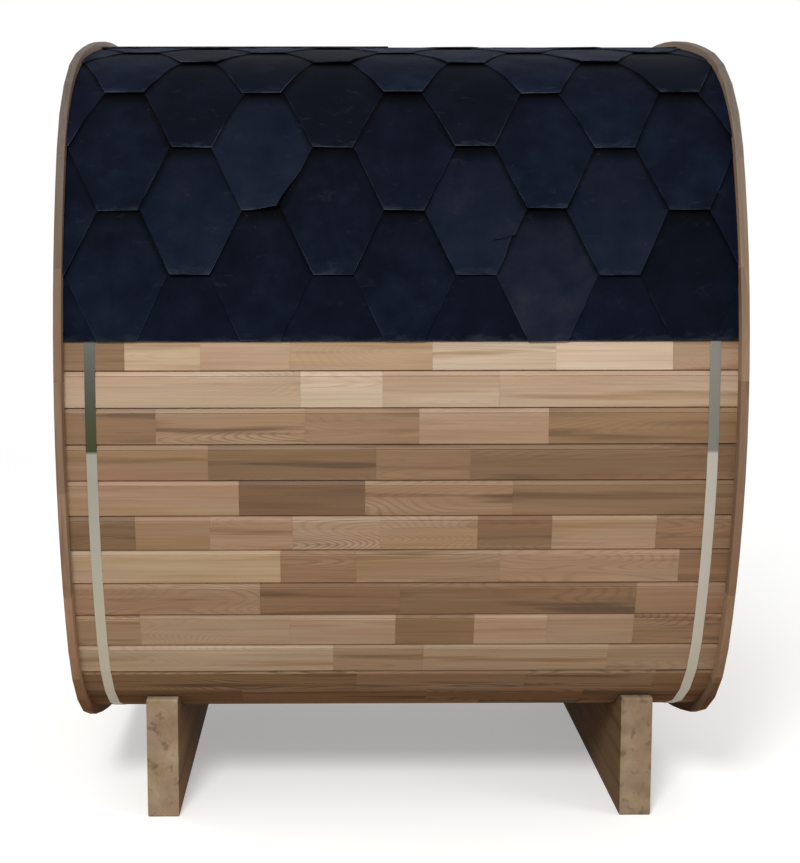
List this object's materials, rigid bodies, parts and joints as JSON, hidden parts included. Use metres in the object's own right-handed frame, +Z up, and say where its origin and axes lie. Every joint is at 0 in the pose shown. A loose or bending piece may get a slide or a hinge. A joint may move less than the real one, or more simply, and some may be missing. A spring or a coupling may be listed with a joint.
{
  "type": "cube sauna",
  "caption": "Rounded-square barrel sauna of horizontal cedar staves with steel bands, timber rims and a shingle roof, lying on two timber supports.",
  "frame": {"origin": "centre of the footprint, on the ground", "axes": "+Z up, X along the barrel with the doorway at +X, the long side shown in the picture faces -Y"},
  "size_m": [1.596, 1.8916, 2.0156],
  "materials": {
    "stave_cedar": "oiled planed cedar, finger-jointed lengths of mixed tone",
    "end_wall_cedar": "oiled planed tongue-and-groove cedar",
    "door_frame_wood": "oiled planed cedar",
    "door_wood": "oiled planed cedar planks",
    "pull_wood": "oiled turned wood",
    "rim_wood": "weathered planed wood",
    "support_timber": "planed softwood with knots",
    "bitumen_shingle": "matt mineral-faced bitumen",
    "band_steel": "satin stainless strap",
    "hinge_steel": "satin stainless"
  },
  "bodies": {
    "root": {"front_wall": "stave_cedar", "back_wall": "stave_cedar", "ceiling": "stave_cedar", "floor": "stave_cedar", "corner_front_top": "stave_cedar", "corner_back_top": "stave_cedar", "corner_back_bottom": "stave_cedar", "corner_front_bottom": "stave_cedar", "left_end_wall": "end_wall_cedar", "right_end_wall_front": "end_wall_cedar", "right_end_wall_back": "end_wall_cedar", "right_end_wall_head": "end_wall_cedar", "right_end_wall_sill": "end_wall_cedar", "door_frame": "door_frame_wood", "door_leaf": "door_wood", "door_pull": "pull_wood", "door_hinges": "hinge_steel", "roof_front_side": "bitumen_shingle", "roof_front_corner": "bitumen_shingle", "roof_top": "bitumen_shingle", "roof_back_corner": "bitumen_shingle", "roof_back_side": "bitumen_shingle", "ridge_strip": "bitumen_shingle", "band_left": "band_steel", "band_right": "band_steel", "rim_left_front": "rim_wood", "rim_left_front_top": "rim_wood", "rim_left_top": "rim_wood", "rim_left_back_top": "rim_wood", "rim_left_back": "rim_wood", "rim_left_back_bottom": "rim_wood", "rim_left_bottom": "rim_wood", "rim_left_front_bottom": "rim_wood", "rim_right_front": "rim_wood", "rim_right_front_top": "rim_wood", "rim_right_top": "rim_wood", "rim_right_back_top": "rim_wood", "rim_right_back": "rim_wood", "rim_right_back_bottom": "rim_wood", "rim_right_bottom": "rim_wood", "rim_right_front_bottom": "rim_wood", "support_left_beam": "support_timber", "support_left_cradle": "support_timber", "support_right_beam": "support_timber", "support_right_cradle": "support_timber"}
  },
  "joints": []
}
